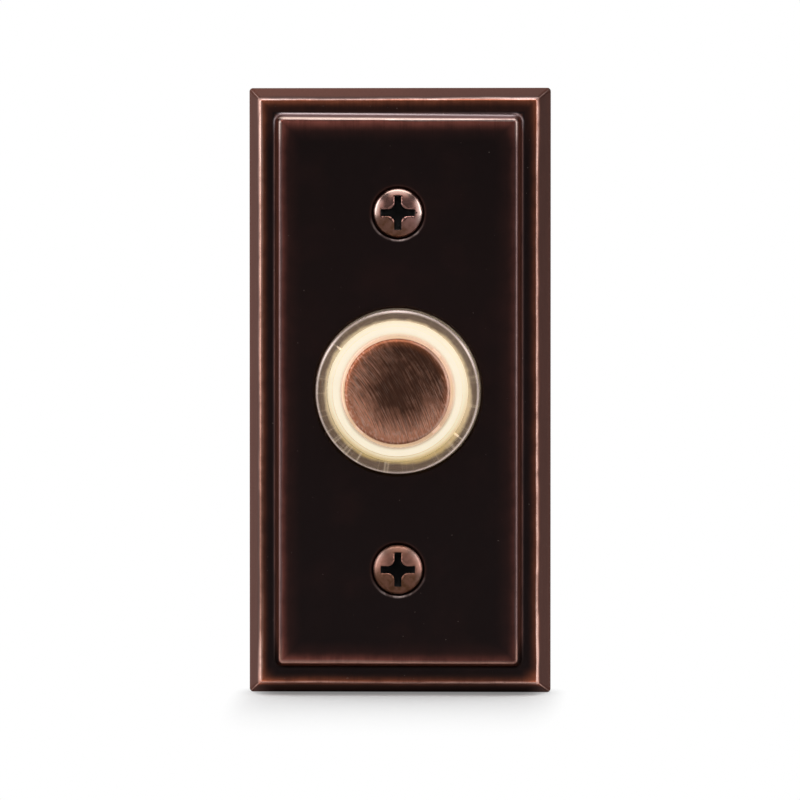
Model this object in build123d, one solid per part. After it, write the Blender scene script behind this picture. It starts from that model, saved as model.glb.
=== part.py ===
from build123d import *
import math
import os

# Lighted doorbell push button, in millimetres.
# Drawn flat: X to the right, Y up the plate, Z out from the wall. Turned upright when written.

# Face plate, a hollow casting that sits on the wall by its rim
plate_width = 38.0
plate_height = 76.2
plate_corner = 0.45
rim_land = 1.0
step_height = 7.4
side_lean = 1.65
step_corner = 0.4
ledge_width = 1.87
panel_rise = 1.8
panel_lean = 0.69
panel_foot_corner = 1.0
panel_corner = 0.5
step_round = 0.3
panel_round = 0.3
foot_round = 0.5
face_wall = 1.8
side_wall = 2.0
cavity_lean = 1.0
cavity_corner = 1.2
hole_chamfer = 0.3

# Mounting screws, raised countersunk, one above and one below the button
screw_spacing = 44.45
screw_head_radius = 3.06
screw_dome = 0.85
screw_land = 0.08
screw_cone_angle = 41.0
screw_neck_radius = 1.35
screw_thread_radius = 1.75
screw_length = 25.4
screw_point = 3.0
cross_span = 4.4
cross_wing = 0.9
cross_nose = 0.8
cross_depth = 2.0
cross_wing_foot = 1.6
cross_point_radius = 0.4
cross_point_height = 0.6
countersink_radius = 3.42
countersink_angle = 49.0
countersink_round = 0.25
screw_hole_radius = 2.0
screw_seat_gap = 0.03
tube_wall = 0.78

# Button cap, a spun metal cup
cap_radius = 6.58
cap_wall = 0.53
cap_proud = 1.2
cap_dome = 0.35
cap_round = 0.55
cap_skirt = 3.1
cap_top_wall = 0.6

# Plunger under the cap, moulded, hollow from below
press_travel = 1.5
plunger_fit = 0.05
plunger_wall = 0.8
plunger_top = 1.3
flange_reach = 0.35
flange_thickness = 0.75
flange_gap = 0.05
rib_count = 4
rib_turn = 45.0
rib_width = 1.2
rib_gap = 0.1
spring_bore = 2.9
spring_tube_wall = 0.7
stake_lip = 0.35
stake_height = 0.3

# Moving contact and the two fixed contacts
washer_thickness = 0.5
washer_margin = 0.3
contact_gap = 0.05
contact_offset = 5.2
rivet_radius = 0.9
strip_width = 3.0
strip_thickness = 0.5
strip_fit = 0.4
pad_size = 7.6
pad_corner = 0.6
tab_thickness = 0.5
tab_width = 1.4
tab_fit = 0.1
peg_radius = 0.7
peg_fit = 0.05

# Return spring
spring_radius = 2.3
spring_wire = 0.45
spring_turns = 5.5
wire_sides = 6
spring_seat_gap = 0.02
post_radius = 1.6
post_height = 3.6
post_chamfer = 0.4

# Lens ring, light diffuser and circuit board, clamped between the base and the plate
bore_gap = 0.42
diffuser_width = 1.78
diffuser_height = 4.2
diffuser_fit = 0.05
key_turn = 143.5
key_width = 0.2
key_reach = 0.6
key_fit = 0.05
lens_wall = 1.37
lens_cover = 1.2
lens_shoulder = 0.5
lens_lip = 1.0
lens_lip_height = 1.4
lens_hole_gap = 0.15
lens_step_radius_gap = 1.1
lens_step = 0.15
board_thickness = 1.0
board_hole_gap = 0.25
led_count = 4
led_length = 2.0
led_width = 1.1
led_lit_length = 1.4
led_lit_round = 0.12
led_base = 0.35
led_height = 0.8
led_notch_gap = 0.3
resistor_length = 3.2
resistor_width = 1.4
resistor_height = 0.55
resistor_cap = 0.5
resistor_cap_proud = 0.05
diode_length = 2.7
diode_width = 1.4
diode_height = 1.0
diode_lead = 0.5
diode_lead_width = 0.7
diode_lead_height = 0.2
chip_gap = 0.35

# Switch base, moulded, sunk into the back of the plate
base_recess = 0.3
base_floor = 1.5
base_fit = 0.2
cup_wall = 1.1
cup_fit = 0.1
cup_lap = 0.9
board_seat = 1.6
pocket_gap = 0.4
base_pad = 1.0
base_pad_radius = 3.2
boss_radius = 2.4
base_screw_inset = 5.0
window_size = 6.2
terminal_clear = 0.5
wire_groove = 2.6
wire_groove_depth = 0.9
base_hole_gap = 0.3
core_depth = 0.6
core_rib = 2.0

# Terminal and base screws
terminal_head_radius = 2.8
terminal_head_height = 1.25
terminal_radius = 1.75
terminal_fit = 0.05
terminal_reach = 3.8
slot_width = 0.8
slot_depth = 0.6
base_screw_head_radius = 2.1
base_screw_head_height = 1.1
base_screw_radius = 1.1
base_screw_fit = 0.05
base_screw_reach = 4.2
base_screw_sink = 0.1
screw_head_chamfer = 0.38
screw_end_chamfer = 0.4
head_clearance = 0.3

# Heights above the wall
face_height = step_height + panel_rise
countersink_depth = (countersink_radius - screw_hole_radius) / math.tan(math.radians(countersink_angle))
countersink_foot = face_height - countersink_depth
ceiling = face_height - face_wall
shelf = step_height - face_wall
floor_top = base_recess + base_floor
board_top = ceiling - lens_lip_height
board_bottom = board_top - board_thickness
flange_top = board_top - flange_gap
flange_bottom = flange_top - flange_thickness
washer_bottom = flange_bottom - washer_thickness
rivet_top = washer_bottom - press_travel - contact_gap
strip_top = floor_top + strip_thickness
lens_seat = board_top + diffuser_height
lens_top = lens_seat + lens_cover
cap_edge = lens_top + cap_proud
cap_top = cap_edge + cap_dome
cap_under = cap_top - cap_top_wall - cap_dome
cap_skirt_end = cap_edge - cap_skirt
spring_roof = cap_under - plunger_top
cup_top = board_top + cup_lap
pad_top = floor_top + base_pad

# Radii about the button's axis, from the cap outwards
plunger_radius = cap_radius - cap_wall - plunger_fit
bore_radius = cap_radius + bore_gap
rib_radius = bore_radius - rib_gap
flange_radius = bore_radius + flange_reach
board_hole = flange_radius + board_hole_gap
diffuser_radius = bore_radius + diffuser_width
lens_inner = diffuser_radius + diffuser_fit
lens_radius = lens_inner + lens_wall
lens_lip_radius = lens_radius + lens_lip
plate_hole = lens_radius + lens_hole_gap
cup_inner = lens_lip_radius + cup_fit
cup_radius = cup_inner + cup_wall
seat_radius = lens_lip_radius - board_seat
ring_middle = (board_hole + diffuser_radius) / 2
spring_tube = spring_bore + spring_tube_wall
washer_hole = spring_tube + plunger_fit
washer_radius = contact_offset + rivet_radius + washer_margin

# Places on the plate
panel_foot = 2 * (side_lean + ledge_width)
panel_inset = panel_foot + 2 * panel_lean
screw_boss = countersink_radius + tube_wall
terminal_x = screw_boss + terminal_clear + pad_size / 2
terminal_y = -(cup_radius + terminal_clear + pad_size / 2)
base_screw_x = plate_width / 2 - side_wall - base_screw_inset
base_screw_y = plate_height / 2 - side_wall - base_screw_inset
chip_y = board_hole + chip_gap + resistor_width / 2

on_end = (Align.CENTER, Align.CENTER, Align.MIN)
same_place = 0.001


def drum(radius, low, high):
    """A cylinder on the button's axis."""
    return Pos(0, 0, low) * Cylinder(radius, high - low, align=on_end)


def block(width, height, low, high):
    """A box about the button's axis."""
    return Pos(0, 0, low) * Box(width, height, high - low, align=on_end)


def tapered_block(low_size, high_size, low, high):
    """A drafted block between two rounded rectangles, each (width, height, corner radius)."""
    foot = Pos(0, 0, low) * RectangleRounded(*low_size)
    head = Pos(0, 0, high) * RectangleRounded(*high_size)
    return loft([foot, head], ruled=True)


def turned(*points):
    """A solid turned about the button's axis from (radius, height) points."""
    return revolve(Plane.XZ * make_face(Polyline(*points, close=True)), Axis.Z)


def rim_at(shape, radius, height):
    """The circular edges of this radius at this height."""
    rims = shape.edges().filter_by(GeomType.CIRCLE)
    rims = rims.filter_by_position(Axis.Z, height - same_place, height + same_place)
    return rims.filter_by(lambda e: abs(e.radius - radius) < same_place)


def plate_outline(inset, corner):
    """A rounded rectangle set in from the plate's outline on every side."""
    return plate_width - 2 * inset, plate_height - 2 * inset, corner


def cavity_inset(height):
    """How far the hollow's drafted wall lies inside the plate's outline at this height."""
    return side_wall + cavity_lean * height / shelf


def plate_body():
    """The outside of the casting: rim, sloping sides, ledge and raised panel."""
    sole = plate_outline(0, plate_corner)
    ledge = plate_outline(side_lean, step_corner)
    body = extrude(RectangleRounded(*sole), rim_land)
    body += tapered_block(sole, ledge, rim_land, step_height)
    body = fillet(body.edges().group_by(Axis.Z)[-1], step_round)
    foot = plate_outline(panel_foot / 2, panel_foot_corner)
    crest = plate_outline(panel_inset / 2, panel_corner)
    panel = tapered_block(foot, crest, step_height, face_height)
    body += fillet(panel.edges().group_by(Axis.Z)[-1], panel_round)
    reach_x = foot[0] / 2 + foot_round / 2
    reach_y = foot[1] / 2 + foot_round / 2
    at_step = body.edges().filter_by_position(Axis.Z, step_height - same_place, step_height + same_place)
    foot_edges = at_step.filter_by(
        lambda e: abs(e.center().X) < reach_x and abs(e.center().Y) < reach_y
    )
    return fillet(foot_edges, foot_round)


def plate_hollow():
    """The back of the casting: a wide drafted hollow, a deeper one under the panel, and the lens pocket."""
    wide = tapered_block(
        plate_outline(cavity_inset(0), cavity_corner),
        plate_outline(cavity_inset(shelf), cavity_corner),
        0,
        shelf,
    )
    deep = extrude(RectangleRounded(*plate_outline(panel_foot / 2 + side_wall, cavity_corner)), ceiling)
    return wide + deep + drum(cup_radius + pocket_gap, 0, ceiling)


def base_screw_places():
    return GridLocations(2 * base_screw_x, 2 * base_screw_y, 2, 2)


def mounting_screw_places():
    return GridLocations(0, screw_spacing, 1, 2)


def face_plate():
    plate = plate_body() - plate_hollow()
    tube = drum(screw_boss, floor_top, ceiling)
    boss = drum(boss_radius, pad_top, ceiling)
    plate += [place * tube for place in mounting_screw_places()]
    plate += [place * boss for place in base_screw_places()]
    sink = Cone(screw_hole_radius, countersink_radius, countersink_depth, align=on_end)
    through = drum(screw_hole_radius, 0, face_height) + Pos(0, 0, countersink_foot) * sink
    pilot = drum(base_screw_radius + base_screw_fit, 0, floor_top + base_screw_reach)
    plate -= [place * through for place in mounting_screw_places()]
    plate -= [place * pilot for place in base_screw_places()]
    plate -= drum(plate_hole, 0, face_height)
    plate = fillet(rim_at(plate, countersink_radius, face_height), countersink_round)
    return chamfer(rim_at(plate, plate_hole, face_height), hole_chamfer)


def diffuser_keys(fit):
    """Two thin keys across the light ring that stop the diffuser turning in the lens."""
    reach = diffuser_radius + key_reach + fit
    bar = Rot(0, 0, key_turn) * block(2 * reach, key_width + 2 * fit, board_top, lens_seat)
    return bar - drum(ring_middle, board_top, lens_seat)


def lens_ring():
    step_radius = bore_radius + lens_step_radius_gap
    lens = turned(
        (lens_inner, board_top),
        (lens_lip_radius, board_top),
        (lens_lip_radius, ceiling),
        (lens_radius, ceiling),
        (lens_radius, lens_top),
        (step_radius, lens_top),
        (step_radius, lens_top - lens_step),
        (bore_radius, lens_top - lens_step),
        (bore_radius, lens_seat),
        (lens_inner, lens_seat),
    )
    return fillet(rim_at(lens, lens_radius, lens_top), lens_shoulder) - diffuser_keys(key_fit)


def led_places():
    return PolarLocations(ring_middle, led_count)


def light_diffuser():
    ring = drum(diffuser_radius, board_top, lens_seat) - drum(bore_radius, board_top, lens_seat)
    notch = block(
        2 * diffuser_width,
        led_length + 2 * led_notch_gap,
        board_top,
        board_top + led_height + led_notch_gap,
    )
    return ring - [place * notch for place in led_places()] + diffuser_keys(0)


def tab_place():
    """Where the right-hand contact's tab stands, on the middle of the light ring."""
    x = contact_offset + (strip_width - tab_thickness) / 2
    return x, -math.sqrt(ring_middle**2 - x**2)


def led_board():
    board = drum(lens_lip_radius, board_bottom, board_top) - drum(board_hole, board_bottom, board_top)
    x, y = tab_place()
    slot = block(tab_thickness + 2 * tab_fit, tab_width + 2 * tab_fit, board_bottom, board_top)
    return board - Pos(x, y, 0) * slot - Pos(-x, y, 0) * slot


def led_chip():
    """A chip with its solder ends low and its lit body in the middle, lying across the ring."""
    foot = block(led_width, led_length, board_top, board_top + led_base)
    lit = block(led_width, led_lit_length, board_top, board_top + led_height)
    return foot + fillet(lit.edges().group_by(Axis.Z)[-1], led_lit_round)


def series_resistor():
    low = board_bottom - resistor_height
    core = block(resistor_length, resistor_width, low + resistor_cap_proud, board_bottom)
    end = block(resistor_cap, resistor_width, low, board_bottom)
    at_end = (resistor_length - resistor_cap) / 2
    return Pos(0, chip_y, 0) * (core + Pos(at_end, 0, 0) * end + Pos(-at_end, 0, 0) * end)


def rectifier_diode():
    low = board_bottom - diode_height
    body = block(diode_length, diode_width, low, board_bottom)
    body = chamfer(body.edges().group_by(Axis.Z)[0], diode_lead_height)
    span = diode_length + 2 * diode_lead
    leads = block(span, diode_lead_width, board_bottom - diode_lead_height, board_bottom)
    return Pos(0, -chip_y, 0) * (body + leads)


def dome_arc(radius, edge, rise):
    """Half of a shallow dome's section, from its edge to its top on the axis."""
    ball = (radius**2 + rise**2) / (2 * rise)
    half = radius / 2
    middle = edge + rise - ball + math.sqrt(ball**2 - half**2)
    return ThreePointArc((radius, edge), (half, middle), (0, edge + rise))


def button_cap():
    """A shallow dome with a rolled edge and a straight skirt."""
    outline = Polyline((0, cap_top), (0, cap_skirt_end), (cap_radius, cap_skirt_end), (cap_radius, cap_edge))
    section = make_face(outline + dome_arc(cap_radius, cap_edge, cap_dome))
    section = fillet(section.vertices().sort_by_distance((cap_radius, cap_edge))[:1], cap_round)
    crown = revolve(Plane.XZ * section, Axis.Z)
    return crown - drum(cap_radius - cap_wall, cap_skirt_end, cap_under)


def plunger():
    """A hollow carrier: spigot in the cap, guide ribs, flange below, and a tube round the spring."""
    body_radius = cap_radius - plunger_fit
    outside = turned(
        (0, washer_bottom - stake_height),
        (spring_tube + stake_lip, washer_bottom - stake_height),
        (spring_tube + stake_lip, washer_bottom),
        (spring_tube, washer_bottom),
        (spring_tube, flange_bottom),
        (flange_radius, flange_bottom),
        (flange_radius, flange_top),
        (body_radius, flange_top),
        (body_radius, cap_skirt_end),
        (plunger_radius, cap_skirt_end),
        (plunger_radius, cap_under),
        (0, cap_under),
    )
    rib = block(2 * rib_radius, rib_width, flange_bottom, cap_skirt_end)
    rib &= drum(rib_radius, flange_bottom, cap_skirt_end)
    spokes = [Rot(0, 0, 180.0 * n / (rib_count / 2) + rib_turn) * rib for n in range(rib_count // 2)]
    hollow = turned(
        (spring_tube, flange_bottom),
        (plunger_radius - plunger_wall, flange_bottom),
        (plunger_radius - plunger_wall, spring_roof),
        (spring_tube, spring_roof),
    )
    return outside + spokes - hollow - drum(spring_bore, washer_bottom - stake_height, spring_roof)


def contact_washer():
    ring = drum(washer_radius, washer_bottom, flange_bottom)
    return ring - drum(washer_hole, washer_bottom, flange_bottom)


def return_spring():
    low = floor_top + spring_wire / 2 + spring_seat_gap
    high = spring_roof - spring_wire / 2 - spring_seat_gap
    coil = Helix((high - low) / spring_turns, high - low, spring_radius)
    wire = Plane(coil @ 0, z_dir=coil % 0) * RegularPolygon(spring_wire / 2, wire_sides)
    return Pos(0, 0, low) * sweep(wire, path=coil, is_frenet=True)


def base_outline(height):
    return plate_outline(cavity_inset(height) + base_fit, cavity_corner)


def peg_place():
    """Where the peg through the right-hand strip stands, between the cup and the terminal."""
    return contact_offset, -(cup_radius - cup_wall / 2)


def base_coring():
    """Shallow pockets in the upper back of the base, between ribs and rings round its holes."""
    width, height, corner = base_outline(base_recess)
    low = wire_groove / 2 + core_rib
    high = height / 2 - core_rib
    field = Pos(0, (low + high) / 2) * RectangleRounded(width - 2 * core_rib, high - low, corner)
    field -= Rectangle(core_rib, height)
    field -= Pos(0, screw_spacing / 2) * Rectangle(width, core_rib)
    ring = Circle(screw_hole_radius + base_hole_gap + core_rib)
    field -= [place * ring for place in mounting_screw_places()]
    ring = Circle(base_screw_head_radius + head_clearance + core_rib)
    field -= [place * ring for place in base_screw_places()]
    return Pos(0, 0, base_recess) * extrude(field, core_depth)


def switch_base():
    base = tapered_block(base_outline(base_recess), base_outline(floor_top), base_recess, floor_top)
    cup = drum(cup_radius, floor_top, cup_top) - drum(cup_inner, board_bottom, cup_top)
    cup -= drum(seat_radius, floor_top, board_bottom)
    arch = block(strip_width + 2 * strip_fit, 2 * cup_radius, floor_top, strip_top + strip_fit)
    for side in (1, -1):
        cup -= Pos(side * contact_offset, -cup_radius, 0) * arch
    post = drum(post_radius, floor_top, floor_top + post_height)
    base += cup + chamfer(rim_at(post, post_radius, floor_top + post_height), post_chamfer)
    pad = drum(base_pad_radius, floor_top, pad_top)
    sink_depth = base_screw_sink + base_screw_head_height
    sink = drum(base_screw_head_radius + head_clearance, 0, base_recess + sink_depth)
    sink += drum(base_screw_radius + base_hole_gap, 0, pad_top)
    base += [place * pad for place in base_screw_places()]
    base &= tapered_block(base_outline(base_recess), base_outline(cup_top), base_recess, cup_top)
    base -= [place * sink for place in base_screw_places()]
    hole = drum(screw_hole_radius + base_hole_gap, 0, floor_top)
    base -= [place * hole for place in mounting_screw_places()]
    window = block(window_size, window_size, 0, floor_top)
    groove_length = -terminal_y
    groove = block(wire_groove, groove_length, 0, base_recess + wire_groove_depth)
    peg = drum(peg_radius, floor_top, strip_top + strip_thickness)
    peg_x, peg_y = peg_place()
    for side in (1, -1):
        base -= Pos(side * terminal_x, terminal_y, 0) * window
        base -= Pos(side * terminal_x, terminal_y + groove_length / 2, 0) * groove
        base += Pos(side * peg_x, peg_y, 0) * peg
    link = block(2 * terminal_x + wire_groove, wire_groove, 0, base_recess + wire_groove_depth)
    return base - link - base_coring()


def fixed_contact():
    """The right-hand strip: contact rivet near the axis, tab to the board, pad at the terminal."""
    leg_top = contact_offset - strip_width / 2
    leg_length = leg_top - terminal_y
    leg = Pos(contact_offset, leg_top - leg_length / 2, 0) * block(
        strip_width, leg_length, floor_top, strip_top
    )
    pad = block(pad_size, pad_size, floor_top, strip_top)
    pad = Pos(terminal_x, terminal_y, 0) * fillet(pad.edges().filter_by(Axis.Z), pad_corner)
    rivet = Pos(contact_offset, 0, 0) * drum(rivet_radius, floor_top, rivet_top)
    tab_x, tab_y = tab_place()
    tab = Pos(tab_x, tab_y, 0) * block(tab_thickness, tab_width, floor_top, board_top)
    peg_x, peg_y = peg_place()
    peg_hole = Pos(peg_x, peg_y, 0) * drum(peg_radius + peg_fit, floor_top, strip_top)
    screw_hole = Pos(terminal_x, terminal_y, 0) * drum(terminal_radius + terminal_fit, floor_top, strip_top)
    return leg + pad + rivet + tab - peg_hole - screw_hole


def slotted_screw(head_radius, head_height, shank_radius, reach, seat):
    """A pan-head screw driven in from the back, its head's underside at this height."""
    low = seat - head_height
    head = drum(head_radius, low, seat)
    head = chamfer(rim_at(head, head_radius, low), screw_head_chamfer)
    head -= block(2 * (head_radius + slot_width), slot_width, low, low + slot_depth)
    shank = drum(shank_radius, seat, seat + reach)
    return head + chamfer(rim_at(shank, shank_radius, seat + reach), screw_end_chamfer)


def terminal_screw():
    screw = slotted_screw(
        terminal_head_radius, terminal_head_height, terminal_radius, terminal_reach, floor_top
    )
    return Pos(terminal_x, terminal_y, 0) * screw


def base_screw():
    seat = base_recess + base_screw_sink + base_screw_head_height
    reach = floor_top + base_screw_reach - seat - base_screw_fit
    return slotted_screw(base_screw_head_radius, base_screw_head_height, base_screw_radius, reach, seat)


def cross_recess(top, dome_radius):
    """A cross with rounded noses between its wings, narrowing towards its floor."""
    cross = Rectangle(cross_span, cross_wing) + Rectangle(cross_wing, cross_span)
    inner = cross.vertices().sort_by_distance((0, 0, 0))[:4]
    cross = fillet(inner, cross_nose)
    low = top - cross_depth
    rim = top - dome_radius + math.sqrt(dome_radius**2 - (cross_span / 2) ** 2)
    taper = turned(
        (0, low),
        (cross_point_radius, low),
        (cross_wing_foot, low + cross_point_height),
        (cross_span / 2, rim),
        (cross_span / 2, top),
        (0, top),
    )
    return Pos(0, 0, low) * extrude(cross, cross_depth) & taper


def mounting_screw():
    """A wood screw whose steeper head bears on the foot of the countersink, its edge level with the panel."""
    slope = math.tan(math.radians(screw_cone_angle))
    edge = countersink_foot + (screw_head_radius - screw_hole_radius + screw_seat_gap) / slope
    neck = edge - (screw_head_radius - screw_neck_radius) / slope
    tip = edge - screw_length
    brim = edge + screw_land
    top = brim + screw_dome
    dome_radius = (screw_head_radius**2 + screw_dome**2) / (2 * screw_dome)
    blank = turned(
        (0, tip),
        (screw_thread_radius, tip + screw_point),
        (screw_thread_radius, 0),
        (screw_neck_radius, 0),
        (screw_neck_radius, neck),
        (screw_head_radius, edge),
        (screw_head_radius, brim),
        (0, brim),
    )
    ball = Pos(0, 0, top - dome_radius) * Sphere(dome_radius)
    return blank + (ball & drum(screw_head_radius, brim, top)) - cross_recess(top, dome_radius)


def write(shape, name):
    """Stand the drawing upright, front towards -Y, and write it."""
    export_step(Rot(90, 0, 0) * shape, f"parts/{name}.step")


os.makedirs("parts", exist_ok=True)
write(face_plate(), "face_plate")
write(lens_ring(), "lens_ring")
write(light_diffuser(), "light_diffuser")
write(led_board(), "led_board")
for number, place in enumerate(led_places(), start=1):
    write(place * led_chip(), f"led_{number}")
write(series_resistor(), "series_resistor")
write(rectifier_diode(), "rectifier_diode")
write(button_cap(), "button_cap")
write(plunger(), "plunger")
write(contact_washer(), "contact_washer")
write(return_spring(), "return_spring")
write(switch_base(), "switch_base")
write(fixed_contact(), "fixed_contact_right")
write(mirror(fixed_contact(), about=Plane.YZ), "fixed_contact_left")
write(terminal_screw(), "terminal_screw_right")
write(mirror(terminal_screw(), about=Plane.YZ), "terminal_screw_left")
for number, place in enumerate(base_screw_places(), start=1):
    write(place * base_screw(), f"base_screw_{number}")
lower, upper = [place * mounting_screw() for place in mounting_screw_places()]
write(lower, "mounting_screw_lower")
write(upper, "mounting_screw_upper")
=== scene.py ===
import bpy
import bmesh
import math
from mathutils import Matrix, Vector


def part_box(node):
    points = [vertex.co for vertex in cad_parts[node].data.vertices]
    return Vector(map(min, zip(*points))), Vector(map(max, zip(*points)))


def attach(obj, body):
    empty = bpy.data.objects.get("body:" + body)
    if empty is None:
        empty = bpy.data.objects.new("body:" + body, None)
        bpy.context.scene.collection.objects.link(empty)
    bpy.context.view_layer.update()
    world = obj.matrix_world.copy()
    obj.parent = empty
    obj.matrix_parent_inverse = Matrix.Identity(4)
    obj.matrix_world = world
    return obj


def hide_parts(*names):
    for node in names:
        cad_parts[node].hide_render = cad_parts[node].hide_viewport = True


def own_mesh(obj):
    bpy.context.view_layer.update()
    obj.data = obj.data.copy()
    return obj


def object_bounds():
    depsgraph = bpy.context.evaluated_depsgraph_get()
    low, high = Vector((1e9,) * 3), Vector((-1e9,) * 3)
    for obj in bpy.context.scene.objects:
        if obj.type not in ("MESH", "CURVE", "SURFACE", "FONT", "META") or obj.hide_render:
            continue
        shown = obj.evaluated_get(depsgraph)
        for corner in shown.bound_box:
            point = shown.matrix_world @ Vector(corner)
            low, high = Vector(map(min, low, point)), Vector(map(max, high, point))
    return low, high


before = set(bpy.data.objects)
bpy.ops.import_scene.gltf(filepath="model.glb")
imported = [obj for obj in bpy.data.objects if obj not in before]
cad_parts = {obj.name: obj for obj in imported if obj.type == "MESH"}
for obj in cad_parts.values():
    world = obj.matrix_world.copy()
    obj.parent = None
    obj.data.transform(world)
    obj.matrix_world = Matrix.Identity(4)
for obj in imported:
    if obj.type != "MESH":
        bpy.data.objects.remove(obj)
cad_low, cad_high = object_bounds()


# Face plate. A die-cast zinc plate with a flat ledge and a raised panel, plated and darkened to an
# oil-rubbed bronze and then rubbed back to copper along every raised edge. It sits on the wall by
# its rim, and all the works are fixed in its hollow back.
# Much of the light and shade on its face is painted into this finish, and it differs from side to side.
mm = 0.001
per_metre = 1000.0
half_width = cad_high.x * per_metre
half_height = cad_high.z * per_metre
ledge_inset = 1.65
ledge_end_inset = 1.58
foot_inset = 3.52
foot_corner = 1.0
panel_inset = 4.21
panel_end = half_height - panel_inset
panel_side = half_width - panel_inset
foot_end = half_height - foot_inset
foot_side = half_width - foot_inset
face_height = 9.2
front_low = 3.0
front_high = 5.0
top_slant = 0.0107
screw_spacing = 44.45
countersink_radius = 3.46
lens_hole_radius = 10.5
rub_sway = 0.28
mitre_blend = 0.2
end_reach = 4.0
left_reach = half_width * 0.6
ledge_rub = 1.5
corner_rub = 2.2
panel_rub = 1.5
panel_haze = 3.0
dark_bronze = (0.031, 0.0205, 0.0205, 1.0)
rubbed_and_lit_brown = (0.72, 0.21, 0.105, 1.0)
plum_and_painted_glow = (0.72, 0.22, 0.165, 1.0)
painted_riser_highlight = (0.56, 0.45, 0.46, 1.0)
painted_riser_shade = (0.155, 0.083, 0.080, 1.0)
painted_riser_edge_highlight = (0.92, 0.70, 0.60, 1.0)
painted_pale_sheen = (0.26, 0.22, 0.23, 1.0)
bare_copper_and_highlight = (1.0, 0.65, 0.555, 1.0)
painted_pale_highlight = (1.0, 0.78, 0.735, 1.0)
side_wear_and_sheen = (0.30, 0.195, 0.19, 1.0)
top_wear_and_sheen = (0.70, 0.55, 0.50, 1.0)
low_wear_and_sheen = (0.74, 0.43, 0.35, 1.0)
painted_joint_shade = (0.010, 0.007, 0.006, 1.0)
pale_speck = (0.80, 0.62, 0.55, 1.0)
bronze_edge_tint = (0.63, 0.50, 0.475, 1.0)


class Field:
    """A value that changes from place to place. Sums on fields become nodes in their tree."""

    def __init__(self, tree, socket):
        self.tree = tree
        self.socket = socket

    def node(self, kind, settings, sockets, out=0):
        """A node in the same tree: first its settings, then the values or fields of its sockets."""
        made = self.tree.nodes.new(kind)
        for name, value in settings.items():
            setattr(made, name, value)
        for name, value in sockets.items():
            if isinstance(value, Field):
                self.tree.links.new(value.socket, made.inputs[name])
            else:
                made.inputs[name].default_value = value
        return Field(self.tree, made.outputs[out])

    def maths(self, operation, *terms):
        return self.node("ShaderNodeMath", {"operation": operation}, dict(enumerate(terms)))

    def __add__(self, other):
        return self.maths("ADD", self, other)

    def __radd__(self, other):
        return self.maths("ADD", other, self)

    def __sub__(self, other):
        return self.maths("SUBTRACT", self, other)

    def __rsub__(self, other):
        return self.maths("SUBTRACT", other, self)

    def __mul__(self, other):
        return self.maths("MULTIPLY", self, other)

    def __rmul__(self, other):
        return self.maths("MULTIPLY", other, self)

    def __truediv__(self, other):
        return self.maths("DIVIDE", self, other)

    def __rtruediv__(self, other):
        return self.maths("DIVIDE", other, self)

    def __abs__(self):
        return self.maths("ABSOLUTE", self)

    def highest(self, other):
        return self.maths("MAXIMUM", self, other)

    def lowest(self, other):
        return self.maths("MINIMUM", self, other)

    def ramp(self, low, high):
        """Nothing below low, all above high, and a smooth rise between them."""
        sockets = {"Value": self, "From Min": low, "From Max": high}
        return self.node("ShaderNodeMapRange", {"interpolation_type": "SMOOTHSTEP"}, sockets)

    def line(self, middle, reach):
        """All at the middle value, and nothing further than reach from it."""
        return 1 - abs(self - middle).ramp(0.0, reach)

    def axis(self, number):
        """One coordinate of a vector field."""
        return self.node("ShaderNodeSeparateXYZ", {}, {0: self}, number)

    def stretched(self, x, y, z):
        return self.node("ShaderNodeVectorMath", {"operation": "MULTIPLY"}, {0: self, 1: (x, y, z)})

    def noise(self, scale, detail=3.0):
        return self.node("ShaderNodeTexNoise", {}, {"Vector": self, "Scale": scale, "Detail": detail})

    def mix(self, first, second):
        """The first colour where the field is nothing, the second where it is one."""
        return self.node("ShaderNodeMix", {"data_type": "RGBA"}, {0: self, 6: first, 7: second}, 2)

    def relief(self, depth):
        """A surface raised by this many millimetres where the field is one."""
        return self.node("ShaderNodeBump", {}, {"Height": self, "Distance": depth * mm})


def distance(first, second):
    """Length of a flat vector from its two parts."""
    square = first * first + second * second
    return square.maths("SQRT", square)


def start_finish(name):
    """A new material, and the place on the piece in millimetres for its pattern to follow."""
    material = bpy.data.materials.new(name)
    material.use_nodes = True
    tree = material.node_tree
    here = Field(tree, tree.nodes.new("ShaderNodeTexCoord").outputs["Object"])
    return material, here.stretched(per_metre, per_metre, per_metre)


def end_finish(material, sockets):
    """Give the material's shader its values and fields."""
    shader = material.node_tree.nodes["Principled BSDF"]
    for name, value in sockets.items():
        if isinstance(value, Field):
            material.node_tree.links.new(value.socket, shader.inputs[name])
        else:
            shader.inputs[name].default_value = value


def dress(node, material):
    """Give a solid that keeps its own mesh this finish."""
    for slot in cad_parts[node].material_slots:
        slot.material = material


def place_of(at):
    """A point's place on the button: across it, up it and off the wall."""
    return at.axis(0), at.axis(2), 0 - at.axis(1)


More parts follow.
